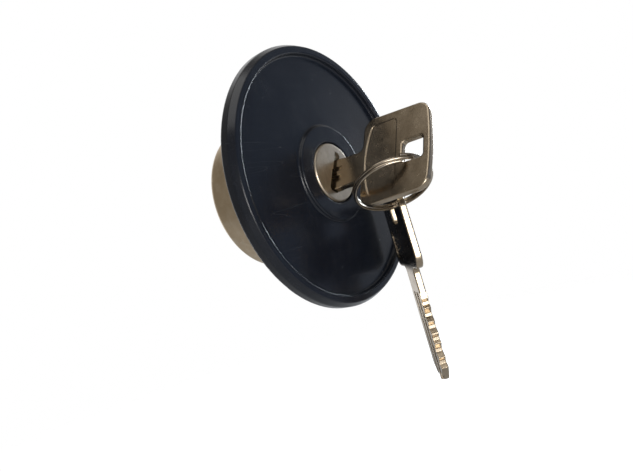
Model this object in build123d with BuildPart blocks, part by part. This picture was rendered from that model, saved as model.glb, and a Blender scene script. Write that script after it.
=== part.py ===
import os
from math import cos, radians, sin, sqrt, tan

from build123d import *

# Lockable fuel filler cap with its key, a split ring and a spare key.
# X is to the right seen from the front, Y runs from the face into the filler neck, Z is up.
# The origin is on the cap's axis, in the sealing plane at the back of the gasket. Sizes in mm.

os.makedirs("parts", exist_ok=True)

# ---- driving dimensions -------------------------------------------------------------------------

# cover: black moulding
cover_r = 40.3  # largest radius of the side wall
cover_edge_inset = 1.1  # front outer edge inside the side wall's largest radius
cover_depth = 4.9  # rim front to back edge
side_taper_depth = 1.9  # depth over which the side wall widens to cover_r
back_round = 0.9  # rounding of the back edge
rim_width = 2.1
skirt_wall = 2.7  # side wall's thickness at its largest radius
panel_back_depth = 3.3  # rim front to the flat back of the panel
panel_edge_drop = 1.75  # rim front down to the panel, at the rim
panel_centre_drop = 0.95  # rim front down to the panel, at the boss
boss_r = 14.56
boss_rise = 0.2  # boss front ahead of the rim front
boss_draft = 0.35
snap_lug_count = 6
snap_lug_angle = 16.0
snap_lug_reach = 1.25
cover_front_rounds = (0.2, 0.5, 0.6, 0.5, 0.45, 0.35, 1.2)  # from the bore out to the side wall

# body shell: deep drawn steel cup
shell_r = 23.3
sheet = 0.8  # thickness of the shell's sheet
shell_depth = 26.2  # back of the flange to the back of the floor
flange_room = 0.3  # shell's flange inside the cover's skirt
flange_bend_r = 1.4
floor_bend_r = 2.0
dish_r = 8.0  # stiffening dish in the floor
dish_rise = 0.7
dish_round = 0.4
window_corner_r = 0.8

# gasket
gasket_thickness = 2.5
gasket_room = 2.3  # round the shell, where the neck's end turns in
gasket_width = 5.4
gasket_edge_round = 0.5

# lock housing and plug
face_rise = 0.33  # lock face ahead of the rim front
face_r = 9.11
face_thickness = 1.25
face_edge_round = 0.7
head_r = 8.7
head_thickness = 1.3
barrel_r = 7.5
plug_tail = 18.9  # back end of the plug, from the sealing plane
housing_wall = 3.4
nose_length = 1.1  # part of the sleeve that stands in the cover's boss
housing_room = 0.4  # round the housing, inside the shell
housing_flange_thickness = 2.0
sleeve_length = 8.1  # from the back of the housing's flange
rib_inner_r = 19.3
rib_angle = 26.0
rib_count = 4
rib_start = 45.0
sleeve_foot_round = 1.0
seal_section = 1.5  # square seat of the plug's seal
housing_screw_count = 3
housing_screw_pcd_r = 15.5
housing_screw_r = 1.2
screw_boss_r = 2.4
screw_skin = 0.9  # plastic left in front of each screw's tip
guide_screw_length = 5.0  # thread below the guide plate
housing_head_overhang = 0.9  # screw's head beyond its boss
housing_head_height = 1.5
rib_head_r = 1.5  # heads of the guide's screws
rib_head_height = 1.0
pan_dome = 0.55  # rounding of a screw's head, as a share of its height
pan_recess = (0.28, 0.5)  # cross recess: width and depth as shares of the head

# cam, bolts and their guide
cam_r = 18.8
cam_thickness = 2.0
cam_washer_thickness = 0.3
barrel_flat = 6.6  # half distance over the barrel's two flats
bolt_travel = 4.0
lock_angle = 90.0
bolt_pin_r = 1.5
bolt_pin_place = 12.0  # pin axis from the cap's axis, bolts in
bolt_width = 11.0
bolt_thickness = 4.0
bolt_inner_end = 8.4
bolt_tip_inset = 0.1  # corners of a bolt's nose inside the shell's outside
bolt_nose_bevel = 1.2
guide_plate_thickness = 1.6
rail_width = 2.0
rail_start = 9.5
rail_end = 20.6
rear_boss_r = 10.0
rear_boss_length = 1.6
guide_screw_r = 0.85
circlip_thickness = 0.8
circlip_outer_r = 8.9
circlip_groove_depth = 0.6
circlip_gap_angle = 60.0

# wafers
wafer_count = 5
wafer_pitch = 1.9
wafer_thickness = 1.0
wafer_half = 7.0  # half height, along the slot
wafer_left = -2.2  # sides of a wafer, across the slot from the plug's axis
wafer_right = 2.6
wafer_window_gap = 0.25  # round the blade
wafer_lug_reach = 1.4
wafer_lug = (1.1, 2.1)  # the lug that the spring pushes, along the slot
wafer_spring_start = -2.6  # foot of a wafer's spring, along the slot
wafer_pocket_length = 5.8
wafer_pocket_middle = 0.2
wafer_spring_turns = 5
wafer_spring_r = 0.4
wafer_spring_wire = 0.2
wafer_slot_corner_r = 0.8

# breather valve
vent_offset = 15.4  # valve axis from the cap's axis
vent_hole_r = 2.4
vent_disc_r = 3.5
vent_disc_thickness = 1.2
vent_travel = 1.0
cage_r = 4.3
cage_wall = 0.4
cage_height = 5.2
cage_ear_reach = 7.6
cage_ear_half_width = 2.0
cage_rivet_place = 6.0
cage_slot_width = 1.5
rivet_r = 0.8
rivet_head_r = 1.4
rivet_head_height = 0.7
rivet_dome = 0.7  # rounding of a rivet's head, as a share of its height
vent_spring_r = 2.4
vent_spring_wire = 0.4
vent_spring_turns = 3.5

# keys
key_tilt = 31.0  # the slot leans this far clockwise from vertical
key_offset = 0.8  # the key's middle plane from the cap's axis
key_centre = -1.0  # the key's centre line from the cap's axis, along the slot
key_thickness = 2.1
key_length = 57.5
key_stand = 32.6  # far end of the bow from the lock face
bow_length = 22.5
bow_shift = 0.7  # bow's middle from the key's centre line
bow_shoulder_half = 14.5
bow_end_half = 13.5
bow_arch = 0.9  # rise of the arched end
bow_corner_r = 3.8
bow_edge_round = 0.45
neck_corner_r = 1.8  # inside corners between the neck and the bow
hole_width = 6.8  # across the key
hole_length = 6.5  # along the key
hole_shift = 0.0  # hole centre from the key's centre line
hole_corner_r = 1.1
hole_edge_gap = 2.3  # bow's end to the hole
panel_depth = 0.2  # panel pressed into each side of the bow
panel_half = 11.5
panel_start = 3.0  # panel's corners from the shoulder
panel_end = 11.6
panel_bulge = 1.9  # how far the panel's arched side reaches towards the shoulder
panel_corner_r = 1.6
neck_length = 7.6
blade_half = 5.0
tip_length = 4.2
tip_half = 1.3
groove_depth = 0.6
upper_groove = (1.0, 2.5)  # across the blade, from the key's centre line
lower_groove = (-2.6, -0.5)
far_groove = (0.4, 2.4)
cut_pitch = 3.6
cut_depths = (0.9, 1.4, 0.7, 1.2, 1.5, 0.8)
cut_flat = 0.5
cut_flare = 1.3  # run of a cut's flank against its depth
cut_over = 0.2  # how far the cutter's outline passes the blade's edge

# split ring
ring_r = 11.3  # centre line of the wire
ring_wire = 1.0
ring_turn_gap = 0.04
ring_turns = 2.0
ring_lean = 19.1  # chord through the key against the key's length
ring_roll = 5.0  # ring plane off square to the key
ring_side = 5.45  # ring centre off the key's middle plane
ring_start_angle = -45.0  # where the wire's first end lies, from the chord round the ring
ring_in_hole = (2.46, 1.15)  # ring plane from the hole's near end and from its lower side
wire_in_hole = 1.05  # wire's middle from the far end of the spare key's hole
spare_heading = 41.4  # the spare key's flat side against the cap's face
spare_lean = 1.4  # the spare key's length off vertical

# clearances
gap = 0.3  # loose clearance between pieces
edge_break = 0.2  # rounding of machined and moulded edges
soft_edge = 0.3
bore_gap = 0.05  # running clearance of the plug, radial
slot_gap = 0.1  # bolt pin in the cam's slot, each side
slide_gap = 0.1  # bolt in its rails, each side
key_gap = 0.15  # key in the keyway, each side
face_gap = 0.39  # lock face in the cover's bore
thread_gap = 0.05  # screws and rivets in their holes, radial
seal_gap = 0.03  # plug seal on the barrel and in its seat
snap_gap = 0.05  # snap lugs behind the shell's flange
screw_boss_gap = 0.1  # cover bosses below the housing flange's back face
pin_end_gap = 0.2  # end of a bolt's pin from the cam's front face

# ---- derived places along Y ---------------------------------------------------------------------

flange_back_y = -gasket_thickness
flange_front_y = flange_back_y - sheet
rim_y = flange_front_y - panel_back_depth
cover_back_y = rim_y + cover_depth
boss_y = rim_y - boss_rise
face_y = rim_y - face_rise
head_y = face_y + face_thickness
barrel_y = head_y + head_thickness
nose_y = flange_front_y - nose_length
housing_back_y = flange_front_y + housing_flange_thickness
sleeve_y = housing_back_y + sleeve_length
cam_y = sleeve_y + cam_washer_thickness
cam_back_y = cam_y + cam_thickness
bolt_y = cam_back_y + gap
bolt_back_y = bolt_y + bolt_thickness
guide_y = bolt_back_y + gap
guide_back_y = guide_y + guide_plate_thickness
rear_boss_y = guide_back_y + rear_boss_length
circlip_y = rear_boss_y + gap
floor_y = flange_back_y + shell_depth
floor_inner_y = floor_y - sheet

# ---- derived sizes ------------------------------------------------------------------------------

bore_r = barrel_r + bore_gap
sleeve_r = bore_r + housing_wall
shell_inner_r = shell_r - sheet
housing_flange_r = shell_inner_r - housing_room
cover_edge_r = cover_r - cover_edge_inset
rim_inner_r = cover_edge_r - rim_width
skirt_inner_r = cover_r - skirt_wall
flange_r = skirt_inner_r - flange_room
gasket_inner_r = shell_r + gasket_room
gasket_outer_r = gasket_inner_r + gasket_width
bolt_outer_end = sqrt(shell_r**2 - (bolt_width / 2) ** 2) - bolt_tip_inset
cover_bore_r = face_r + face_gap
seal_seat_r = barrel_r + seal_section
seal_depth = seal_section
groove_r = barrel_r - circlip_groove_depth
rib_mid_r = (rib_inner_r + housing_flange_r) / 2
blade_slot_half = blade_half + key_gap
blade_slot_width = key_thickness + 2 * key_gap
key_depth = key_length - key_stand
spiral_rate = bolt_travel / radians(lock_angle)

# ---- frames of the key, the ring and the spare key ----------------------------------------------

slot_dir = Vector(sin(radians(key_tilt)), 0, cos(radians(key_tilt)))
across_dir = Vector(cos(radians(key_tilt)), 0, -sin(radians(key_tilt)))
key_origin = Vector(0, face_y, 0) + across_dir * key_offset + slot_dir * key_centre
key_plane = Plane(origin=key_origin, x_dir=(0, -1, 0), z_dir=-across_dir)

hole_near = key_stand - hole_edge_gap - hole_length
hole_far = key_stand - hole_edge_gap
ring_hole_x = hole_near + ring_in_hole[0]
ring_hole_y = hole_shift - hole_width / 2 + ring_in_hole[1]
ring_hole = key_plane.from_local_coords(Vector(ring_hole_x, ring_hole_y, 0))

ring_chord = key_plane.x_dir * cos(radians(ring_lean)) + key_plane.y_dir * sin(radians(ring_lean))
ring_square = key_plane.z_dir.cross(ring_chord)
ring_normal = ring_square * cos(radians(ring_roll)) + key_plane.z_dir * sin(radians(ring_roll))
ring_side_dir = ring_chord.cross(ring_normal)
half_chord = sqrt(ring_r**2 - ring_side**2)
ring_centre = ring_hole - ring_chord * half_chord - ring_side_dir * ring_side

down = Vector(0, 0, -1)
ring_low_dir = (down - ring_normal * down.dot(ring_normal)).normalized()
ring_low = ring_centre + ring_low_dir * ring_r
spare_hang = hole_far - wire_in_hole
spare_facing = Vector(-sin(radians(spare_heading)), cos(radians(spare_heading)), 0)
spare_up = spare_facing * sin(radians(spare_lean)) - down * cos(radians(spare_lean))
spare_across = spare_facing.cross(spare_up).normalized()
spare_normal = spare_up.cross(spare_across)
spare_plane = Plane(
    origin=ring_low - spare_up * spare_hang - spare_across * hole_shift,
    x_dir=spare_up,
    z_dir=spare_normal,
)


def y_plane(y):
    """Plane across the cap's axis at y, with local x along X, local y along Z, facing -Y."""
    return Plane(origin=(0, y, 0), x_dir=(1, 0, 0), z_dir=(0, -1, 0))


def save(part, name):
    """Label a finished piece and write it as a STEP file."""
    part.label = name
    export_step(part, f"parts/{name}.step")


def turned(points, radii):
    """Solid of revolution about the cap's axis from corner points (radius, y) and corner radii."""
    with BuildPart() as solid:
        with BuildSketch(Plane.XY):
            with BuildLine():
                FilletPolyline(*points, radius=radii, close=True)
            make_face()
        revolve(axis=Axis.Y)
    return solid.part


def tube(inner_r, outer_r, front_y, back_y):
    """Plain ring about the cap's axis."""
    with BuildPart() as ring:
        with BuildSketch(y_plane(back_y)):
            Circle(outer_r)
            Circle(inner_r, mode=Mode.SUBTRACT)
        extrude(amount=back_y - front_y)
    return ring.part


def slot_plane(y):
    """Plane across the cap's axis at y, with local x up along the key slot, facing -Y."""
    return Plane(origin=(0, y, 0), x_dir=slot_dir, z_dir=(0, -1, 0))


def sectors(inner_r, outer_r, count, angle, start, front_y, back_y):
    """Blocks between two radii about the cap's axis, each as wide as the angle, evenly spaced."""
    with BuildPart() as blocks:
        with BuildSketch(y_plane(back_y)):
            with PolarLocations(0, count, start_angle=start):
                side = 2 * outer_r * tan(radians(angle / 2))
                Polygon((0, 0), (2 * outer_r, -side), (2 * outer_r, side), align=None)
            Circle(outer_r, mode=Mode.INTERSECT)
            Circle(inner_r, mode=Mode.SUBTRACT)
        extrude(amount=back_y - front_y)
    return blocks.part


def coil(plane, radius, wire, height, turns, left_hand=False):
    """Open coil of round wire that starts on the plane's x axis and climbs along its normal."""
    with BuildPart() as spring:
        with BuildLine() as path:
            Helix(pitch=height / turns, height=height, radius=radius, lefthand=left_hand)
        with BuildSketch(Plane(origin=path.line @ 0, z_dir=path.line % 0)):
            Circle(wire / 2)
        sweep(path=path.line, is_frenet=True)
    return plane.from_local_coords(spring.part)


def pan_screw(plane, shank_r, shank_length, head_r, head_height):
    """Screw with a domed head; the plane lies under the head and faces out of it."""
    with BuildPart() as screw:
        with BuildSketch(plane):
            Circle(shank_r)
        extrude(amount=-shank_length)
        with BuildSketch(plane):
            Circle(head_r)
        extrude(amount=head_height)
        fillet(screw.faces().sort_by(plane.location.z_axis)[-1].edges(), head_height * pan_dome)
        with BuildSketch(plane.offset(head_height)):
            for turn in (0, 90):
                Rectangle(head_r, head_r * pan_recess[0], rotation=turn)
        extrude(amount=-head_height * pan_recess[1], mode=Mode.SUBTRACT)
    return screw.part


# ---- cover --------------------------------------------------------------------------------------
# One moulding: raised rim, dished panel, central boss, and a skirt with snap lugs behind the
# shell's flange. Blind bosses at the back take the lock housing's screws.

panel_edge_y = rim_y + panel_edge_drop
panel_centre_y = rim_y + panel_centre_drop
nose_seat_y = nose_y - gap
nose_seat_r = sleeve_r + gap
screw_boss_y = housing_back_y - screw_boss_gap
screw_tip_y = panel_centre_y + screw_skin
with BuildPart() as cover:
    add(
        turned(
            [
                (cover_bore_r, boss_y),
                (boss_r, boss_y),
                (boss_r + boss_draft, panel_centre_y),
                (rim_inner_r - boss_draft, panel_edge_y),
                (rim_inner_r, rim_y),
                (cover_edge_r, rim_y),
                (cover_r, rim_y + side_taper_depth),
                (cover_r, cover_back_y),
                (skirt_inner_r, cover_back_y),
                (skirt_inner_r, flange_front_y),
                (nose_seat_r, flange_front_y),
                (nose_seat_r, nose_seat_y),
                (cover_bore_r, nose_seat_y),
            ],
            [*cover_front_rounds, back_round, edge_break, soft_edge, 0, 0, 0],
        )
    )
    add(
        sectors(
            skirt_inner_r - snap_lug_reach,
            skirt_inner_r + gap,
            snap_lug_count,
            snap_lug_angle,
            0,
            flange_back_y + snap_gap,
            cover_back_y,
        )
    )
    with BuildSketch(y_plane(screw_boss_y)):
        with PolarLocations(housing_screw_pcd_r, housing_screw_count, start_angle=90):
            Circle(screw_boss_r)
    extrude(amount=screw_boss_y - flange_front_y)
    with BuildSketch(y_plane(screw_boss_y)):
        with PolarLocations(housing_screw_pcd_r, housing_screw_count, start_angle=90):
            Circle(housing_screw_r + thread_gap)
    extrude(amount=screw_boss_y - screw_tip_y, mode=Mode.SUBTRACT)
save(cover.part, "cover")

# ---- body shell ---------------------------------------------------------------------------------
# Drawn steel cup with a flange at its mouth, a window for each bolt, and the breather's holes
# in the floor. A shallow round dish stiffens the floor.

with BuildPart() as body_shell:
    add(
        turned(
            [
                (flange_r, flange_front_y),
                (shell_inner_r, flange_front_y),
                (shell_inner_r, floor_inner_y),
                (dish_r + sheet, floor_inner_y),
                (dish_r, floor_inner_y - dish_rise),
                (0, floor_inner_y - dish_rise),
                (0, floor_y - dish_rise),
                (dish_r, floor_y - dish_rise),
                (dish_r + sheet, floor_y),
                (shell_r, floor_y),
                (shell_r, flange_back_y),
                (flange_r, flange_back_y),
            ],
            [
                0,
                flange_bend_r + sheet,
                floor_bend_r - sheet,
                dish_round,
                dish_round,
                0,
                0,
                dish_round,
                dish_round,
                floor_bend_r,
                flange_bend_r,
                0,
            ],
        )
    )
    with BuildSketch(Plane.XY):
        with Locations((0, (bolt_y + bolt_back_y) / 2)):
            RectangleRounded(bolt_width + 2 * gap, bolt_thickness + 2 * gap, window_corner_r)
    extrude(amount=shell_r + gap, both=True, mode=Mode.SUBTRACT)
    with BuildSketch(y_plane(floor_y)):
        with Locations((vent_offset, 0)):
            Circle(vent_hole_r)
        with Locations((vent_offset, cage_rivet_place), (vent_offset, -cage_rivet_place)):
            Circle(rivet_r + thread_gap)
    extrude(amount=sheet, mode=Mode.SUBTRACT)
save(body_shell.part, "body_shell")

# ---- gasket -------------------------------------------------------------------------------------
# Flat rubber ring under the shell's flange; its back face seals on the filler neck.

with BuildPart() as gasket:
    add(
        turned(
            [
                (gasket_inner_r, flange_back_y),
                (gasket_outer_r, flange_back_y),
                (gasket_outer_r, 0),
                (gasket_inner_r, 0),
            ],
            [0, gasket_edge_round, gasket_edge_round, gasket_edge_round],
        )
    )
save(gasket.part, "gasket")

# ---- lock housing -------------------------------------------------------------------------------
# Zinc casting: a sleeve for the plug, a flange against the cover and four curved ribs that
# carry the bolt guide.

seal_back_y = nose_y + seal_depth
with BuildPart() as lock_housing:
    add(
        turned(
            [
                (seal_seat_r, nose_y),
                (sleeve_r, nose_y),
                (sleeve_r, flange_front_y),
                (housing_flange_r, flange_front_y),
                (housing_flange_r, housing_back_y),
                (sleeve_r, housing_back_y),
                (sleeve_r, sleeve_y),
                (bore_r, sleeve_y),
                (bore_r, seal_back_y),
                (seal_seat_r, seal_back_y),
            ],
            [edge_break, edge_break, 0, edge_break, 0, sleeve_foot_round, soft_edge, 0, 0, 0],
        )
    )
    add(
        sectors(
            rib_inner_r,
            housing_flange_r,
            rib_count,
            rib_angle,
            rib_start,
            housing_back_y,
            guide_y,
        )
    )
    with BuildSketch(y_plane(guide_y)):
        with PolarLocations(rib_mid_r, rib_count, start_angle=rib_start):
            Circle(guide_screw_r + thread_gap)
    extrude(amount=guide_screw_length, mode=Mode.SUBTRACT)
    with BuildSketch(y_plane(housing_back_y)):
        with PolarLocations(housing_screw_pcd_r, housing_screw_count, start_angle=90):
            Circle(screw_boss_r + slot_gap)
    extrude(amount=housing_flange_thickness, mode=Mode.SUBTRACT)
save(lock_housing.part, "lock_housing")

with BuildPart() as housing_screws:
    with PolarLocations(housing_screw_pcd_r, housing_screw_count, start_angle=90) as places:
        spots = [y_plane(housing_back_y).from_local_coords(place.position) for place in places]
    for spot in spots:
        add(
            pan_screw(
                Plane(origin=spot, x_dir=(1, 0, 0), z_dir=(0, 1, 0)),
                housing_screw_r,
                housing_back_y - screw_tip_y - gap,
                screw_boss_r + housing_head_overhang,
                housing_head_height,
            )
        )
save(housing_screws.part, "housing_screws")

# ---- lock plug and its face ---------------------------------------------------------------------
# The plug is a turned and broached barrel with a keyway, a slot for each wafer, two flats for
# the cam and a groove for the circlip. A pressed steel face with a stepped slot covers its head.

slot_outline = [
    (6.8, -1.05),
    (0.7, -1.05),
    (0.3, -1.45),
    (-5.7, -1.45),
    (-6.35, -0.8),
    (-6.35, 1.7),
    (-5.8, 2.3),
    (-1.6, 2.3),
    (-1.3, 2.1),
    (4.4, 2.1),
    (4.9, 1.3),
    (6.2, 1.3),
    (6.8, 0.6),
]
slot_corners = [Vector(along, -across) for along, across in slot_outline]
with BuildPart() as lock_face:
    add(
        turned(
            [(0, face_y), (face_r, face_y), (face_r, head_y), (0, head_y)],
            [0, face_edge_round, 0.1, 0],
        )
    )
    with BuildSketch(slot_plane(head_y)):
        Polygon(*slot_corners, align=None)
    extrude(amount=face_thickness, mode=Mode.SUBTRACT)
save(lock_face.part, "lock_face")

keyway_end_y = face_y + key_depth + gap
circlip_back_y = circlip_y + circlip_thickness
wafer_places = [seal_back_y + wafer_pitch * (place + 0.5) for place in range(wafer_count)]
with BuildPart() as lock_plug:
    add(
        turned(
            [
                (0, head_y),
                (head_r, head_y),
                (head_r, barrel_y),
                (barrel_r, barrel_y),
                (barrel_r, circlip_y - slot_gap),
                (groove_r, circlip_y - slot_gap),
                (groove_r, circlip_back_y + slot_gap),
                (barrel_r, circlip_back_y + slot_gap),
                (barrel_r, plug_tail),
                (0, plug_tail),
            ],
            [0, edge_break, 0, 0, 0, 0, 0, 0, soft_edge, 0],
        )
    )
    with BuildSketch(slot_plane(barrel_y)):
        Polygon(*slot_corners, align=None)
    extrude(amount=head_thickness, mode=Mode.SUBTRACT)
    with BuildSketch(slot_plane(keyway_end_y)):
        with Locations((key_centre, -key_offset)):
            Rectangle(2 * blade_slot_half, blade_slot_width)
    extrude(amount=keyway_end_y - head_y, mode=Mode.SUBTRACT)
    with BuildSketch(slot_plane(plug_tail)):
        Rectangle(2 * head_r, 2 * head_r)
        Rectangle(2 * head_r, 2 * barrel_flat, mode=Mode.SUBTRACT)
    extrude(amount=plug_tail - cam_y, mode=Mode.SUBTRACT)
    for wafer_y in wafer_places:
        with BuildSketch(slot_plane(wafer_y)):
            with Locations((0, -(wafer_left + wafer_right) / 2)):
                Rectangle(2 * head_r, wafer_right - wafer_left + 2 * slot_gap)
            with Locations((wafer_pocket_middle, -wafer_left)):
                Rectangle(wafer_pocket_length, 2 * wafer_lug_reach + 2 * slot_gap)
        extrude(amount=wafer_thickness / 2 + slot_gap, both=True, mode=Mode.SUBTRACT)
save(lock_plug.part, "lock_plug")

# ---- wafers -------------------------------------------------------------------------------------
# Stamped brass plates that slide across the plug. The blade passes through each window, and a
# spring beside each plate pushes on its lug.

for number, wafer_y in enumerate(wafer_places, start=1):
    with BuildPart() as wafer:
        with BuildSketch(slot_plane(wafer_y)) as outline:
            with Locations((0, -(wafer_left + wafer_right) / 2)):
                RectangleRounded(2 * wafer_half, wafer_right - wafer_left, wafer_slot_corner_r)
            with Locations((sum(wafer_lug) / 2, -wafer_left)):
                Rectangle(wafer_lug[1] - wafer_lug[0], 2 * wafer_lug_reach)
            with Locations((key_centre, -key_offset)):
                Rectangle(
                    2 * (blade_half + wafer_window_gap),
                    key_thickness + 2 * wafer_window_gap,
                    mode=Mode.SUBTRACT,
                )
        extrude(amount=wafer_thickness / 2, both=True)
    save(wafer.part, f"wafer_{number}")

with BuildPart() as wafer_springs:
    for wafer_y in wafer_places:
        spring_foot = slot_plane(wafer_y).from_local_coords(
            Vector(wafer_spring_start + wafer_spring_wire, wafer_lug_reach / 2 - wafer_left, 0)
        )
        spring_height = wafer_lug[0] - wafer_spring_start - 2 * wafer_spring_wire
        add(
            coil(
                Plane(origin=spring_foot, z_dir=slot_dir),
                wafer_spring_r,
                wafer_spring_wire,
                spring_height,
                wafer_spring_turns,
            )
        )
save(wafer_springs.part, "wafer_springs")

# ---- plug seal, cam washer, cam and circlip -----------------------------------------------------

with BuildPart() as plug_seal:
    with BuildSketch(Plane.XY):
        with Locations(((barrel_r + seal_seat_r) / 2, nose_y + seal_depth / 2)):
            Circle((seal_seat_r - barrel_r) / 2 - seal_gap)
    revolve(axis=Axis.Y)
save(plug_seal.part, "plug_seal")

save(tube(bore_r, sleeve_r, sleeve_y, cam_y), "cam_washer")


def spiral_point(side, angle, offset):
    """Point beside a cam slot's middle line; the angle is the plug's turn in degrees."""
    turn = radians(angle)
    radius = bolt_pin_place + spiral_rate * turn
    outward = Vector(-sin(turn), cos(turn))
    forward = Vector(-cos(turn), -sin(turn)) * radius + outward * spiral_rate
    beside = Vector(-forward.Y, forward.X).normalized()
    return (outward * radius + beside * offset) * side


# The cam is a disc with two slots. Each slot's radius grows evenly with the angle, so the bolts
# move in step with the plug.

slot_half = bolt_pin_r + slot_gap
slot_steps = range(0, int(lock_angle) + 1, 10)
with BuildPart() as cam:
    with BuildSketch(y_plane(cam_back_y)):
        Circle(cam_r)
    extrude(amount=cam_thickness)
    with BuildSketch(slot_plane(cam_back_y)):
        Circle(bore_r)
        Rectangle(2 * head_r, 2 * (barrel_flat + bore_gap), mode=Mode.INTERSECT)
    extrude(amount=cam_thickness, mode=Mode.SUBTRACT)
    for side in (-1, 1):
        with BuildSketch(y_plane(cam_back_y)):
            with BuildLine():
                wall_a = Spline(*[spiral_point(side, step, slot_half) for step in slot_steps])
                wall_b = Spline(*[spiral_point(side, step, -slot_half) for step in slot_steps])
                start_cap = spiral_point(side, 0, 0) + Vector(side * slot_half, 0)
                end_cap = spiral_point(side, lock_angle, 0) - Vector(0, side * slot_half)
                ThreePointArc(wall_a @ 0, start_cap, wall_b @ 0)
                ThreePointArc(wall_a @ 1, end_cap, wall_b @ 1)
            make_face()
        extrude(amount=cam_thickness, mode=Mode.SUBTRACT)
    fillet(cam.edges().filter_by(GeomType.CIRCLE).sort_by(SortBy.RADIUS)[-2:], soft_edge)
save(cam.part, "cam")

with BuildPart() as plug_circlip:
    with BuildSketch(y_plane(circlip_back_y)):
        Circle(circlip_outer_r)
        Circle(groove_r + bore_gap, mode=Mode.SUBTRACT)
        gap_side = circlip_outer_r * tan(radians(circlip_gap_angle / 2))
        Polygon(
            (0, 0),
            (-gap_side, -circlip_outer_r),
            (gap_side, -circlip_outer_r),
            align=None,
            mode=Mode.SUBTRACT,
        )
    extrude(amount=circlip_thickness)
save(plug_circlip.part, "plug_circlip")

# ---- bolts and their guide ----------------------------------------------------------------------
# Each bolt slides between two rails. Its drive pin stands in the cam's slot.


def bolt(side):
    """Locking bolt above (side 1) or below (side -1) the plug."""
    with BuildPart() as body:
        with BuildSketch(y_plane(bolt_back_y)):
            with Locations((0, side * (bolt_inner_end + bolt_outer_end) / 2)):
                Rectangle(bolt_width, bolt_outer_end - bolt_inner_end)
        extrude(amount=bolt_thickness)
        nose = body.faces().sort_by(Axis.Z)[-1 if side > 0 else 0]
        chamfer(nose.edges().sort_by(Axis.Y)[-1], bolt_nose_bevel)
        with BuildSketch(y_plane(bolt_y)):
            with Locations((0, side * bolt_pin_place)):
                Circle(bolt_pin_r)
        extrude(amount=bolt_y - cam_y - pin_end_gap)
    return body.part


save(bolt(1), "bolt_top")
save(bolt(-1), "bolt_bottom")

rail_middle = bolt_width / 2 + slide_gap + rail_width / 2
with BuildPart() as bolt_guide:
    with BuildSketch(y_plane(guide_back_y)):
        Circle(housing_flange_r)
    extrude(amount=guide_plate_thickness)
    with BuildSketch(y_plane(rear_boss_y)):
        Circle(rear_boss_r)
    extrude(amount=rear_boss_length)
    with BuildSketch(y_plane(guide_y)):
        rail_length = rail_end - rail_start
        for across in (-1, 1):
            for up in (-1, 1):
                with Locations((across * rail_middle, up * (rail_start + rail_end) / 2)):
                    Rectangle(rail_width, rail_length)
    extrude(amount=guide_y - bolt_y - slide_gap)
    with BuildSketch(y_plane(rear_boss_y)):
        Circle(bore_r)
    extrude(amount=rear_boss_y - guide_y, mode=Mode.SUBTRACT)
    with BuildSketch(y_plane(guide_back_y)):
        with PolarLocations(rib_mid_r, rib_count, start_angle=rib_start):
            Circle(guide_screw_r + thread_gap)
    extrude(amount=guide_plate_thickness, mode=Mode.SUBTRACT)
save(bolt_guide.part, "bolt_guide")

with BuildPart() as guide_screws:
    with PolarLocations(rib_mid_r, rib_count, start_angle=rib_start) as places:
        spots = [y_plane(guide_back_y).from_local_coords(place.position) for place in places]
    for spot in spots:
        add(
            pan_screw(
                Plane(origin=spot, x_dir=(1, 0, 0), z_dir=(0, 1, 0)),
                guide_screw_r,
                guide_plate_thickness + guide_screw_length - gap,
                rib_head_r,
                rib_head_height,
            )
        )
save(guide_screws.part, "guide_screws")

# ---- breather valve -----------------------------------------------------------------------------
# A rubber disc on the shell's floor, pressed to its seat by a spring in a riveted cage.

cage_top_y = floor_inner_y - cage_height
disc_y = floor_inner_y - vent_disc_thickness
with BuildPart() as vent_cage:
    with BuildSketch(y_plane(floor_inner_y)):
        with Locations((vent_offset, 0)):
            Circle(cage_r + cage_ear_half_width / 2)
            SlotOverall(2 * cage_ear_reach, 2 * cage_ear_half_width, rotation=90)
        with Locations((vent_offset, cage_rivet_place), (vent_offset, -cage_rivet_place)):
            Circle(rivet_r + thread_gap, mode=Mode.SUBTRACT)
    extrude(amount=cage_wall)
    with BuildSketch(y_plane(floor_inner_y)):
        with Locations((vent_offset, 0)):
            Circle(cage_r)
    extrude(amount=cage_height)
    with BuildSketch(y_plane(floor_inner_y)):
        with Locations((vent_offset, 0)):
            Circle(cage_r - cage_wall)
    extrude(amount=cage_height - cage_wall, mode=Mode.SUBTRACT)
    with BuildSketch(y_plane(cage_top_y + cage_wall)):
        with Locations((vent_offset, 0)):
            Circle(vent_spring_r / 2)
    extrude(amount=cage_wall, mode=Mode.SUBTRACT)
    with BuildSketch(Plane.XY.offset(-cage_r)):
        with Locations((vent_offset, cage_top_y + cage_height / 2)):
            SlotOverall(cage_height / 2, cage_slot_width, rotation=90)
    extrude(amount=2 * cage_r, mode=Mode.SUBTRACT)
save(vent_cage.part, "vent_cage")

with BuildPart() as vent_disc:
    with BuildSketch(y_plane(floor_inner_y)):
        with Locations((vent_offset, 0)):
            Circle(vent_disc_r)
    extrude(amount=vent_disc_thickness)
    fillet(vent_disc.edges().group_by(Axis.Y)[0], soft_edge)
save(vent_disc.part, "vent_disc")

spring_room = disc_y - cage_top_y - cage_wall
with BuildPart() as vent_spring:
    add(
        coil(
            Plane(origin=(vent_offset, disc_y - vent_spring_wire / 2, 0), z_dir=(0, -1, 0)),
            vent_spring_r,
            vent_spring_wire,
            spring_room - vent_spring_wire,
            vent_spring_turns,
        )
    )
save(vent_spring.part, "vent_spring")

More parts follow.
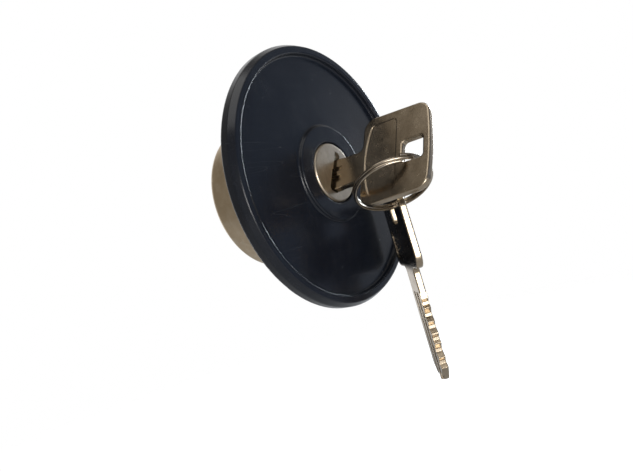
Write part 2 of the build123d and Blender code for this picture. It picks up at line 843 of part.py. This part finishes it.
with BuildPart() as vent_rivets:
    for side in (-1, 1):
        rivet_place = (vent_offset, side * cage_rivet_place)
        with BuildSketch(y_plane(floor_y)):
            with Locations(rivet_place):
                Circle(rivet_r)
        extrude(amount=sheet + cage_wall)
        with BuildSketch(y_plane(floor_y + rivet_head_height)):
            with Locations(rivet_place):
                Circle(rivet_head_r)
        extrude(amount=rivet_head_height)
        with BuildSketch(y_plane(floor_inner_y - cage_wall)):
            with Locations(rivet_place):
                Circle(rivet_head_r)
        extrude(amount=rivet_head_height / 2)
    fillet(vent_rivets.edges().group_by(Axis.Y)[-1], rivet_head_height * rivet_dome)
save(vent_rivets.part, "vent_rivets")

# ---- keys ---------------------------------------------------------------------------------------
# Cut from nickel plated steel strip: rounded bow with a square hole and a shallow pressed panel,
# a neck, and a flat blade with milled grooves and cuts along its lower edge.

shoulder_x = key_stand - bow_length
end_x = key_stand - bow_arch
groove_end_x = shoulder_x - neck_length
tip_x = key_stand - key_length


def make_key(plane):
    """Key on its middle plane: local x from the tip to the bow, local y across."""
    with BuildPart() as body:
        with BuildSketch(plane) as outline:
            with BuildLine():
                low_end = (end_x, bow_shift - bow_end_half)
                high_end = (end_x, bow_shift + bow_end_half)
                low_shoulder = (shoulder_x, bow_shift - bow_shoulder_half)
                high_shoulder = (shoulder_x, bow_shift + bow_shoulder_half)
                ThreePointArc(low_end, (key_stand, bow_shift), high_end)
                Polyline(high_end, high_shoulder, low_shoulder, low_end)
            bow = make_face()
            fillet(bow.vertices(), bow_corner_r)
            with Locations(((groove_end_x + end_x) / 2, 0)):
                Rectangle(end_x - groove_end_x, 2 * blade_half)
            inner_corners = outline.vertices().filter_by_position(
                Axis.X, shoulder_x - bow_edge_round, shoulder_x + bow_edge_round
            )
            fillet(inner_corners.filter_by_position(Axis.Y, -blade_half, blade_half), neck_corner_r)
        extrude(amount=key_thickness / 2, both=True)
        with BuildSketch(plane):
            with Locations(((hole_near + hole_far) / 2, hole_shift)):
                RectangleRounded(hole_length, hole_width, hole_corner_r)
        extrude(amount=key_thickness, both=True, mode=Mode.SUBTRACT)
        rims = body.faces().filter_by(Axis(plane.origin, plane.z_dir)).edges()
        fillet(rims.sort_by(Axis(plane.origin, plane.x_dir))[2:], bow_edge_round)
        with BuildSketch(plane):
            Polygon(
                (groove_end_x, -blade_half),
                (groove_end_x, blade_half),
                (tip_x + tip_length, blade_half),
                (tip_x, tip_half),
                (tip_x, -tip_half),
                (tip_x + tip_length, -blade_half),
                align=None,
            )
        extrude(amount=key_thickness / 2, both=True)
        for face_side in (-1, 1):
            level = plane.offset(face_side * (key_thickness / 2 - panel_depth))
            with BuildSketch(level):
                with BuildLine():
                    near_x = shoulder_x + panel_start
                    far_x = shoulder_x + panel_end
                    low_y = bow_shift - panel_half
                    high_y = bow_shift + panel_half
                    ThreePointArc((near_x, low_y), (near_x - panel_bulge, bow_shift), (near_x, high_y))
                    Polyline((near_x, high_y), (far_x, high_y), (far_x, low_y), (near_x, low_y))
                panel = make_face()
                fillet(panel.vertices(), panel_corner_r)
            extrude(amount=face_side * key_thickness, mode=Mode.SUBTRACT)
        for groove, face_side in ((upper_groove, 1), (lower_groove, 1), (far_groove, -1)):
            level = plane.offset(face_side * (key_thickness / 2 - groove_depth))
            with BuildSketch(level):
                with Locations(((tip_x + groove_end_x) / 2 - gap, sum(groove) / 2)):
                    Rectangle(groove_end_x - tip_x + 2 * gap, groove[1] - groove[0])
            extrude(amount=face_side * key_thickness, mode=Mode.SUBTRACT)
        for number, depth in enumerate(cut_depths):
            cut_x = tip_x + tip_length + cut_pitch * (number + 0.5)
            with BuildSketch(plane):
                Polygon(
                    (cut_x - cut_flat, depth - blade_half),
                    (cut_x + cut_flat, depth - blade_half),
                    (cut_x + cut_flat + depth * cut_flare, -blade_half - cut_over),
                    (cut_x - cut_flat - depth * cut_flare, -blade_half - cut_over),
                    align=None,
                )
            extrude(amount=key_thickness, both=True, mode=Mode.SUBTRACT)
    return body.part


save(make_key(key_plane), "key")
save(make_key(spare_plane), "spare_key")

# ---- split ring ---------------------------------------------------------------------------------
# Two turns of round wire side by side, through the holes of both keys.

ring_pitch = ring_wire + ring_turn_gap
ring_start_dir = ring_chord.rotate(Axis((0, 0, 0), ring_normal), ring_start_angle)
ring_plane = Plane(
    origin=ring_centre - ring_normal * ring_turns * ring_pitch / 2,
    x_dir=ring_start_dir,
    z_dir=ring_normal,
)
ring_height = ring_turns * ring_pitch
save(coil(ring_plane, ring_r, ring_wire, ring_height, ring_turns, left_hand=True), "split_ring")
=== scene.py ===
import bmesh
import bpy
from mathutils import Matrix, Vector

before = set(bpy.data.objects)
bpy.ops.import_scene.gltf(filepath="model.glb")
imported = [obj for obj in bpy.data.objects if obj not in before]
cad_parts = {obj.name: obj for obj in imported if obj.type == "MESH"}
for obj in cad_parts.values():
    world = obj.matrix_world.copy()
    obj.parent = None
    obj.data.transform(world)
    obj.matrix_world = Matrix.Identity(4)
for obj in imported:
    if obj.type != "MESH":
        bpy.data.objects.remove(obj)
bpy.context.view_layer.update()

# The view.
# The cap is looked at from its left and a little from the front, level with the keys, by a plain lens.
# The cap is held a little tilted, so the lens is rolled by the same angle.
lens_length_mm = 33.16
sensor_width_mm = 36.0
nearest_seen = 0.01
eye_place = (-0.14289, -0.10813, -0.01686)
view_right = Vector((0.6037, -0.7535, -0.2605))
view_up = Vector((0.1629, -0.2033, 0.9655))
view_back = view_right.cross(view_up).normalized()
view_up = view_back.cross(view_right.normalized())
turned = Matrix((view_right.normalized(), view_up, view_back)).transposed().to_4x4()
eye = bpy.data.cameras.new("view")
eye.lens = lens_length_mm
eye.sensor_width = sensor_width_mm
eye.clip_start = nearest_seen
camera = bpy.data.objects.new("view", eye)
camera.matrix_world = Matrix.Translation(eye_place) @ turned
bpy.context.scene.collection.objects.link(camera)
bpy.context.scene.camera = camera
bpy.context.scene.view_settings.view_transform = "Standard"

# The room.
# A white paper sweep stands behind the cap. The rest of the room is dim, with cool daylight on its window
# side and a warm ceiling, so that polished metal shows a bright side and a dark side.


def joined(tree, operation, first, second):
    """Two amounts worked into one."""
    sum_node = tree.nodes.new("ShaderNodeMath")
    sum_node.operation = operation
    for at, amount in enumerate((first, second)):
        if isinstance(amount, float):
            sum_node.inputs[at].default_value = amount
        else:
            tree.links.new(amount, sum_node.inputs[at])
    return sum_node.outputs[0]


def spread(tree, amount, low, high, start=0.3, end=0.7, run="LINEAR"):
    """The amount between start and end becomes a value from low to high."""
    ranged = tree.nodes.new("ShaderNodeMapRange")
    ranged.interpolation_type = run
    ranged.inputs["From Min"].default_value = start
    ranged.inputs["From Max"].default_value = end
    ranged.inputs["To Min"].default_value = low
    ranged.inputs["To Max"].default_value = high
    tree.links.new(amount, ranged.inputs["Value"])
    return ranged.outputs["Result"]


def laid_over(tree, share, under, over):
    """One colour over another, by a share from 0 to 1. A colour is a value or comes from a node."""
    mix = tree.nodes.new("ShaderNodeMix")
    mix.data_type = "RGBA"
    tree.links.new(share, mix.inputs["Factor"])
    for socket, colour in ((mix.inputs[6], under), (mix.inputs[7], over)):
        if isinstance(colour, tuple):
            socket.default_value = (*colour, 1.0)
        else:
            tree.links.new(colour, socket)
    return mix.outputs[2]


def one_side(tree, way, start, end):
    """The part of the room that lies one way, 0 where it starts and 1 where it is full."""
    facing = tree.nodes.new("ShaderNodeVectorMath")
    facing.operation = "DOT_PRODUCT"
    facing.inputs[1].default_value = way
    tree.links.new(tree.nodes.new("ShaderNodeTexCoord").outputs["Generated"], facing.inputs[0])
    return spread(tree, facing.outputs["Value"], 0.0, 1.0, start, end, "SMOOTHSTEP")


def soft_lamp(name, place, target, width, height, watts, colour):
    """A soft box of this width and height, turned from its place to the target."""
    light = bpy.data.lights.new(name, "AREA")
    light.shape = "RECTANGLE"
    light.size = width
    light.size_y = height
    light.energy = watts
    light.color = colour
    lamp = bpy.data.objects.new(name, light)
    lamp.location = place
    lamp.rotation_euler = (Vector(target) - Vector(place)).to_track_quat("-Z", "Y").to_euler()
    bpy.context.scene.collection.objects.link(lamp)


dim_wall = (0.290, 0.272, 0.242)
daylit_wall = (0.225, 0.262, 0.335)
warm_ceiling = (0.250, 0.226, 0.192)
window_way = (0.78, -0.62, 0.10)
ceiling_way = (0.0, 0.0, 1.0)
sweep_way = (0.78, 0.62, -0.08)
room = bpy.data.worlds.new("room")
room.use_nodes = True
bpy.context.scene.world = room
tree = room.node_tree
walls = laid_over(tree, one_side(tree, window_way, start=-0.5, end=0.9), dim_wall, daylit_wall)
walls = laid_over(tree, one_side(tree, ceiling_way, start=0.25, end=0.75), walls, warm_ceiling)
room_walls = tree.nodes["Background"]
tree.links.new(walls, room_walls.inputs["Color"])
paper = tree.nodes.new("ShaderNodeBackground")
paper.inputs["Color"].default_value = (1.0, 1.0, 1.0, 1.0)
paper.inputs["Strength"].default_value = 1.0
ray = tree.nodes.new("ShaderNodeLightPath").outputs
mirrored = joined(tree, "MULTIPLY", ray["Is Glossy Ray"], one_side(tree, sweep_way, start=0.25, end=0.65))
seen_or_through = joined(tree, "MAXIMUM", ray["Is Camera Ray"], ray["Is Transmission Ray"])
room_mix = tree.nodes.new("ShaderNodeMixShader")
tree.links.new(joined(tree, "MAXIMUM", seen_or_through, mirrored), room_mix.inputs[0])
tree.links.new(room_walls.outputs[0], room_mix.inputs[1])
tree.links.new(paper.outputs[0], room_mix.inputs[2])
tree.links.new(room_mix.outputs[0], tree.nodes["World Output"].inputs["Surface"])

soft_lamp(
    "lamp_front",
    place=(-0.40, -0.46, -0.05),
    target=(0.01, -0.02, -0.02),
    width=0.36,
    height=0.20,
    watts=2.8,
    colour=(1.0, 0.98, 0.95),
)
soft_lamp(
    "lamp_window",
    place=(0.55, 0.05, 0.10),
    target=(0, -0.02, 0),
    width=0.24,
    height=0.16,
    watts=3.2,
    colour=(0.80, 0.90, 1.0),
)
soft_lamp(
    "lamp_top",
    place=(-0.18, -0.06, 0.52),
    target=(0, -0.02, 0),
    width=0.46,
    height=0.46,
    watts=1.0,
    colour=(1.0, 0.99, 0.97),
)

# The floor.
# A round sheet of white paper lies well below the cap, and its edge fades into the white behind. It glows by
# itself where it is seen, so that it is white without more light on the cap.
floor_level = -0.16
floor_radius = 0.7
fade_from = 0.35
fade_to = 0.68
paper_grey = (0.48, 0.48, 0.48, 1.0)
paper_glow = 0.85
mirrored_share = 0.15
floor_mesh = bpy.data.meshes.new("floor")
floor_shape = bmesh.new()
bmesh.ops.create_circle(floor_shape, cap_ends=True, segments=96, radius=floor_radius)
floor_shape.to_mesh(floor_mesh)
floor_shape.free()
floor = bpy.data.objects.new("floor", floor_mesh)
floor.location = (0, 0, floor_level)
bpy.context.scene.collection.objects.link(floor)
floor_paper = bpy.data.materials.new("white_paper")
floor_paper.use_nodes = True
tree = floor_paper.node_tree
shader = tree.nodes["Principled BSDF"]
shader.inputs["Base Color"].default_value = paper_grey
shader.inputs["Roughness"].default_value = 0.9
shader.inputs["Emission Color"].default_value = (1.0, 1.0, 1.0, 1.0)
ray = tree.nodes.new("ShaderNodeLightPath").outputs
mirrored = joined(tree, "MULTIPLY", ray["Is Glossy Ray"], mirrored_share)
seen = joined(tree, "ADD", ray["Is Camera Ray"], mirrored)
tree.links.new(joined(tree, "MULTIPLY", seen, paper_glow), shader.inputs["Emission Strength"])
from_middle = tree.nodes.new("ShaderNodeVectorMath")
from_middle.operation = "LENGTH"
tree.links.new(tree.nodes.new("ShaderNodeTexCoord").outputs["Object"], from_middle.inputs[0])
gone = spread(tree, from_middle.outputs["Value"], 0.0, 1.0, fade_from, fade_to, "SMOOTHSTEP")
paper_mix = tree.nodes.new("ShaderNodeMixShader")
tree.links.new(gone, paper_mix.inputs[0])
tree.links.new(shader.outputs[0], paper_mix.inputs[1])
tree.links.new(tree.nodes.new("ShaderNodeBsdfTransparent").outputs[0], paper_mix.inputs[2])
tree.links.new(paper_mix.outputs[0], tree.nodes["Material Output"].inputs["Surface"])
floor.data.materials.append(floor_paper)

# The cover.
# One moulding of black nylon with a dished panel, a raised rim and a boss round the lock. The mould leaves a
# fine satin grain, and handling leaves faint rubs, hair scratches and a few specks of dust.


def begin_finish(name):
    """A new finish: its material, its tree, the shader that it ends in, and the place on the piece."""
    material = bpy.data.materials.new(name)
    material.use_nodes = True
    tree = material.node_tree
    place = tree.nodes.new("ShaderNodeTexCoord").outputs["Object"]
    return material, tree, tree.nodes["Principled BSDF"], place


def patches(tree, place, per_metre, detail=3.0, drawn_out=(1.0, 1.0, 1.0), turned_by=(0.0, 0.0, 0.0)):
    """Soft patches, so many to the metre, and drawn out where a scale is small."""
    mapping = tree.nodes.new("ShaderNodeMapping")
    mapping.inputs["Rotation"].default_value = turned_by
    mapping.inputs["Scale"].default_value = drawn_out
    tree.links.new(place, mapping.inputs["Vector"])
    noise = tree.nodes.new("ShaderNodeTexNoise")
    noise.inputs["Scale"].default_value = per_metre
    noise.inputs["Detail"].default_value = detail
    tree.links.new(mapping.outputs["Vector"], noise.inputs["Vector"])
    return noise.outputs[0]


def tint(tree, amount, dark, light, start=0.3, end=0.7):
    """A colour that runs from dark to light as the amount goes from start to end."""
    ramp = tree.nodes.new("ShaderNodeValToRGB")
    ramp.color_ramp.elements[0].position = start
    ramp.color_ramp.elements[0].color = (*dark, 1.0)
    ramp.color_ramp.elements[1].position = end
    ramp.color_ramp.elements[1].color = (*light, 1.0)
    tree.links.new(amount, ramp.inputs["Fac"])
    return ramp.outputs["Color"]


def hair_scratches(tree, place, per_metre, ways, width=0.012, drawn_out=(1.0, 0.03, 1.0)):
    """Long thin scratches in a few directions, 1 on a scratch and 0 off it."""
    scratch_level = 0.60
    total = None
    for way in ways:
        streak = patches(tree, place, per_metre, 1.0, drawn_out, way)
        off_middle = joined(tree, "ABSOLUTE", joined(tree, "SUBTRACT", streak, scratch_level), 0.0)
        line = spread(tree, off_middle, 1.0, 0.0, 0.0, width)
        total = line if total is None else joined(tree, "MAXIMUM", total, line)
    return total


def specks(tree, place, per_metre, size, share):
    """Round specks of a size in cells, in a small share of the cells."""
    full_size_share = 0.7
    cells = tree.nodes.new("ShaderNodeTexVoronoi")
    cells.inputs["Scale"].default_value = per_metre
    tree.links.new(place, cells.inputs["Vector"])
    dot = spread(tree, cells.outputs["Distance"], 1.0, 0.0, size * full_size_share, size)
    chosen = tree.nodes.new("ShaderNodeSeparateColor")
    tree.links.new(cells.outputs["Color"], chosen.inputs[0])
    kept = joined(tree, "LESS_THAN", chosen.outputs[0], share)
    return joined(tree, "MULTIPLY", dot, kept)


def relief(tree, shader, edge_radius, *layers):
    """Edges softened to a radius, and fine layers on them, each an amount and its height in metres."""
    normal = None
    if edge_radius > 0.0:
        softened = tree.nodes.new("ShaderNodeBevel")
        softened.samples = 6
        softened.inputs["Radius"].default_value = edge_radius
        normal = softened.outputs["Normal"]
    for amount, height in layers:
        bump = tree.nodes.new("ShaderNodeBump")
        bump.inputs["Strength"].default_value = 1.0
        bump.inputs["Distance"].default_value = height
        tree.links.new(amount, bump.inputs["Height"])
        if normal is not None:
            tree.links.new(normal, bump.inputs["Normal"])
        normal = bump.outputs["Normal"]
    tree.links.new(normal, shader.inputs["Normal"])


def dress(node, material):
    """Puts a finish on a piece of the cap."""
    for material_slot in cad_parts[node].material_slots:
        material_slot.material = material


cover_edge = 0.0005
mould_grain_height = 0.0000035
scratch_height = 0.000001
scratch_show = 0.02
dust_show = 0.6
cover_black, tree, shader, place = begin_finish("cover_black")
cloud = patches(tree, place, per_metre=90.0)
rub_drawn_out = (1.0, 1.0, 0.35)
rub_turned_by = (0.0, 0.5, 0.0)
rubs = patches(tree, place, 340.0, detail=5.0, drawn_out=rub_drawn_out, turned_by=rub_turned_by)
grain = patches(tree, place, per_metre=5200.0, detail=2.0)
scratch_ways = ((0.0, 0.5, 0.0), (0.0, 1.4, 0.0))
scratch = hair_scratches(tree, place, 300.0, scratch_ways, width=0.004, drawn_out=(0.02, 1.0, 1.0))
dust = specks(tree, place, per_metre=300.0, size=0.035, share=0.06)
nylon = tint(tree, cloud, dark=(0.0044, 0.0062, 0.0108), light=(0.0062, 0.0086, 0.0142))
pale_rub = tint(tree, cloud, dark=(0.010, 0.012, 0.016), light=(0.014, 0.016, 0.021))
mark_colour = tint(tree, cloud, dark=(0.42, 0.43, 0.44), light=(0.48, 0.49, 0.50))
rubbed = tint(tree, rubs, dark=(0.0, 0.0, 0.0), light=(1.0, 1.0, 1.0), start=0.55, end=0.80)
worn_nylon = laid_over(tree, spread(tree, rubbed, 0.0, 0.5, start=0.0, end=1.0), nylon, pale_rub)
scratch_marks = joined(tree, "MULTIPLY", scratch, scratch_show)
dust_marks = joined(tree, "MULTIPLY", dust, dust_show)
marks = joined(tree, "MAXIMUM", scratch_marks, dust_marks)
tree.links.new(laid_over(tree, marks, worn_nylon, mark_colour), shader.inputs["Base Color"])
shader.inputs["IOR"].default_value = 1.42
satin = spread(tree, cloud, 0.20, 0.25)
satin = joined(tree, "ADD", satin, spread(tree, rubbed, 0.0, 0.06, start=0.0, end=1.0))
tree.links.new(satin, shader.inputs["Roughness"])
relief(tree, shader, cover_edge, (grain, mould_grain_height), (scratch, scratch_height))
dress("cover", cover_black)

# The body shell.
# A cup deep-drawn from sheet steel and plated in a warm satin tone. Drawing leaves faint lines round it, and
# the lugs of the neck rub its side brighter.
drawn_line_height = 0.000003
scratch_height = 0.000003
shell_plated, tree, shader, place = begin_finish("shell_plated")
cloud = patches(tree, place, per_metre=120.0)
drawn = patches(tree, place, per_metre=900.0, drawn_out=(0.12, 1.0, 0.12))
handled = patches(tree, place, per_metre=420.0, detail=5.0)
scratch = hair_scratches(tree, place, 300.0, ((0.2, 0.0, 0.3), (1.3, 0.4, 0.9)), width=0.008)
plate = tint(tree, cloud, dark=(0.47, 0.375, 0.260), light=(0.56, 0.455, 0.325))
rubbed_plate = tint(tree, drawn, dark=(0.53, 0.440, 0.325), light=(0.62, 0.530, 0.410))
rub_share = spread(tree, handled, 0.0, 0.8, start=0.48, end=0.68)
tree.links.new(laid_over(tree, rub_share, plate, rubbed_plate), shader.inputs["Base Color"])
shader.inputs["Metallic"].default_value = 1.0
satin = joined(tree, "ADD", spread(tree, cloud, 0.27, 0.36), spread(tree, drawn, -0.04, 0.05))
tree.links.new(satin, shader.inputs["Roughness"])
relief(tree, shader, 0.0, (drawn, drawn_line_height), (scratch, scratch_height))
dress("body_shell", shell_plated)

# The breather valve.
# A pierced cage of steel is riveted over a hole in the floor of the shell. Inside it a light spring holds a
# rubber-faced disc on its seat.


def plain_metal(name, dark, light, rough, smooth, per_metre=260.0, grain_height=0.000003):
    """A bare or plated metal with a little mottling, fine grain, hair scratches and softened edges."""
    edge_radius = 0.00012
    scratch_height = 0.000002
    material, tree, shader, place = begin_finish(name)
    cloud = patches(tree, place, per_metre, detail=4.0)
    fine = patches(tree, place, per_metre=3600.0, detail=2.0)
    scratch = hair_scratches(tree, place, 420.0, ((0.4, 0.2, 0.0), (1.5, 0.9, 0.5)), width=0.008)
    tree.links.new(tint(tree, cloud, dark, light), shader.inputs["Base Color"])
    shader.inputs["Metallic"].default_value = 1.0
    tree.links.new(spread(tree, cloud, rough, smooth), shader.inputs["Roughness"])
    relief(tree, shader, edge_radius, (fine, grain_height), (scratch, scratch_height))
    return material


def soft_rubber(name, dark, light, bloom):
    """Moulded rubber with a fine skin and a pale bloom in soft patches."""
    skin_height = 0.000008
    bloom_gain = 1.2
    material, tree, shader, place = begin_finish(name)
    cloud = patches(tree, place, per_metre=220.0, detail=4.0)
    skin = patches(tree, place, per_metre=4200.0)
    body_colour = tint(tree, cloud, dark, light)
    bloomed = tint(tree, skin, bloom, tuple(bloom_gain * part for part in bloom))
    share = spread(tree, cloud, 0.0, 0.35, start=0.50, end=0.75)
    tree.links.new(laid_over(tree, share, body_colour, bloomed), shader.inputs["Base Color"])
    tree.links.new(spread(tree, skin, 0.52, 0.72), shader.inputs["Roughness"])
    relief(tree, shader, 0.0, (skin, skin_height))
    return material


cage_steel = plain_metal("cage_steel", (0.42, 0.41, 0.39), (0.56, 0.55, 0.53), rough=0.40, smooth=0.28)
dress("vent_cage", cage_steel)
aluminium = plain_metal("rivet_aluminium", (0.62, 0.62, 0.63), (0.78, 0.78, 0.79), rough=0.42, smooth=0.30)
dress("vent_rivets", aluminium)
spring_steel = plain_metal("spring_steel", (0.30, 0.30, 0.31), (0.44, 0.44, 0.46), rough=0.34, smooth=0.22)
dress("vent_spring", spring_steel)
valve_rubber = soft_rubber("valve_rubber", (0.016, 0.015, 0.015), (0.026, 0.025, 0.024), (0.07, 0.07, 0.065))
dress("vent_disc", valve_rubber)

# The gasket.
# A flat ring of black nitrile rubber, cut from sheet and pressed over the steel body against the back of the
# cover, where it closes on the rim of the neck.
nitrile = soft_rubber("gasket_rubber", (0.014, 0.014, 0.014), (0.024, 0.024, 0.024), (0.060, 0.060, 0.062))
dress("gasket", nitrile)

# The lock housing and its screws.
# A zinc die casting carries the lock. Three plated screws hold it to the cover from behind, and an O-ring
# seals it to the plug.
casting_edge = 0.0002
casting_skin_height = 0.000020
housing_zinc, tree, shader, place = begin_finish("zinc_cast")
cloud = patches(tree, place, per_metre=160.0, detail=4.0)
cast = patches(tree, place, per_metre=1500.0, detail=4.0)
cast_colour = tint(tree, cloud, dark=(0.36, 0.365, 0.375), light=(0.52, 0.525, 0.535))
tree.links.new(cast_colour, shader.inputs["Base Color"])
shader.inputs["Metallic"].default_value = 1.0
tree.links.new(spread(tree, cast, 0.42, 0.58), shader.inputs["Roughness"])
relief(tree, shader, casting_edge, (cast, casting_skin_height))
dress("lock_housing", housing_zinc)
screw_steel = plain_metal("screw_steel", (0.40, 0.38, 0.33), (0.56, 0.53, 0.46), rough=0.34, smooth=0.24)
dress("housing_screws", screw_steel)
seal_rubber = soft_rubber("seal_rubber", (0.012, 0.012, 0.012), (0.020, 0.020, 0.020), (0.04, 0.04, 0.04))
dress("plug_seal", seal_rubber)

# The lock plug.
# A zinc plug carries five brass wafers on small springs. A pressed cap of stainless steel closes its front,
# with the stepped slot for the key in it.
wafer_count = 5
plug_zinc = plain_metal(
    "plug_zinc",
    dark=(0.40, 0.39, 0.36),
    light=(0.55, 0.54, 0.50),
    rough=0.44,
    smooth=0.32,
    per_metre=400.0,
    grain_height=0.000006,
)
dress("lock_plug", plug_zinc)
wafer_brass = plain_metal("wafer_brass", (0.58, 0.40, 0.14), (0.74, 0.54, 0.24), rough=0.36, smooth=0.24)
for number in range(1, wafer_count + 1):
    dress(f"wafer_{number}", wafer_brass)
dress("wafer_springs", spring_steel)
face_edge = 0.0001
rub_height = 0.000002
scratch_height = 0.000003
face_steel, tree, shader, place = begin_finish("face_steel")
cloud = patches(tree, place, per_metre=420.0, detail=4.0)
rub_drawn_out = (1.0, 1.0, 0.4)
rub_turned_by = (0.0, 0.7, 0.0)
rubs = patches(tree, place, 1200.0, detail=4.0, drawn_out=rub_drawn_out, turned_by=rub_turned_by)
scratch = hair_scratches(tree, place, 700.0, ((0.0, 0.5, 0.0), (0.0, 1.9, 0.0), (0.0, 2.7, 0.0)))
steel = tint(tree, cloud, dark=(0.41, 0.350, 0.270), light=(0.50, 0.430, 0.340))
bright = tint(tree, rubs, dark=(0.48, 0.415, 0.33), light=(0.58, 0.51, 0.42))
rub_share = spread(tree, rubs, 0.0, 0.6, start=0.50, end=0.72)
tree.links.new(laid_over(tree, rub_share, steel, bright), shader.inputs["Base Color"])
shader.inputs["Metallic"].default_value = 1.0
tree.links.new(spread(tree, cloud, 0.42, 0.35), shader.inputs["Roughness"])
relief(tree, shader, face_edge, (rubs, rub_height), (scratch, scratch_height))
dress("lock_face", face_steel)

# The cam.
# A hardened disc with two spiral slots stands on the two flats of the plug, over a thin washer, and a
# circlip holds it there.
washer_steel = plain_metal("washer_steel", (0.46, 0.46, 0.47), (0.60, 0.60, 0.61), rough=0.32, smooth=0.22)
dress("cam_washer", washer_steel)
cam_steel = plain_metal("cam_steel", (0.34, 0.31, 0.25), (0.50, 0.46, 0.36), rough=0.36, smooth=0.26)
dress("cam", cam_steel)
dress("plug_circlip", spring_steel)

# The bolts and their guide.
# Two locking bolts of sintered steel slide between the rails of a pressed guide plate, which four screws
# hold to the housing.
bolt_steel = plain_metal(
    "bolt_steel",
    dark=(0.30, 0.30, 0.31),
    light=(0.46, 0.46, 0.47),
    rough=0.40,
    smooth=0.28,
    per_metre=320.0,
    grain_height=0.000008,
)
dress("bolt_top", bolt_steel)
dress("bolt_bottom", bolt_steel)
guide_steel = plain_metal("guide_steel", (0.44, 0.42, 0.37), (0.58, 0.56, 0.50), rough=0.36, smooth=0.26)
dress("bolt_guide", guide_steel)
dress("guide_screws", screw_steel)

# The keys.
# Two flat keys are stamped from nickel silver, with a milled groove, and plated. The plate has dulled to a
# warm, uneven tone and is finely scratched.
key_edge = 0.0004
rub_height = 0.0000001
scratch_height = 0.0000002
key_nickel, tree, shader, place = begin_finish("key_nickel")
cloud = patches(tree, place, per_metre=260.0, detail=4.0)
tarnish = patches(tree, place, per_metre=620.0, detail=5.0)
rubs = patches(tree, place, per_metre=1500.0, drawn_out=(1.0, 0.15, 1.0))
scratch_ways = ((0.3, 0.0, 0.4), (1.1, 0.5, 0.0), (2.0, 0.0, 1.0))
scratch = hair_scratches(tree, place, 620.0, scratch_ways, width=0.010)
nickel = tint(tree, cloud, dark=(0.33, 0.272, 0.202), light=(0.39, 0.328, 0.250))
dulled = tint(tree, tarnish, dark=(0.27, 0.216, 0.152), light=(0.33, 0.268, 0.195))
dull_share = spread(tree, tarnish, 0.0, 0.6, start=0.42, end=0.70)
tree.links.new(laid_over(tree, dull_share, nickel, dulled), shader.inputs["Base Color"])
shader.inputs["Metallic"].default_value = 1.0
dull_roughness = spread(tree, tarnish, 0.0, 0.06, start=0.42, end=0.70)
polish = joined(tree, "ADD", spread(tree, cloud, 0.18, 0.24), dull_roughness)
tree.links.new(polish, shader.inputs["Roughness"])
relief(tree, shader, key_edge, (rubs, rub_height), (scratch, scratch_height))
dress("key", key_nickel)
dress("spare_key", key_nickel)

# The split ring.
# Two close turns of plated spring wire, threaded through the holes of both keys, which slide round on it
# and wear it a little.
ring_steel = plain_metal("ring_steel", (0.29, 0.245, 0.19), (0.40, 0.350, 0.285), rough=0.26, smooth=0.16)
dress("split_ring", ring_steel)
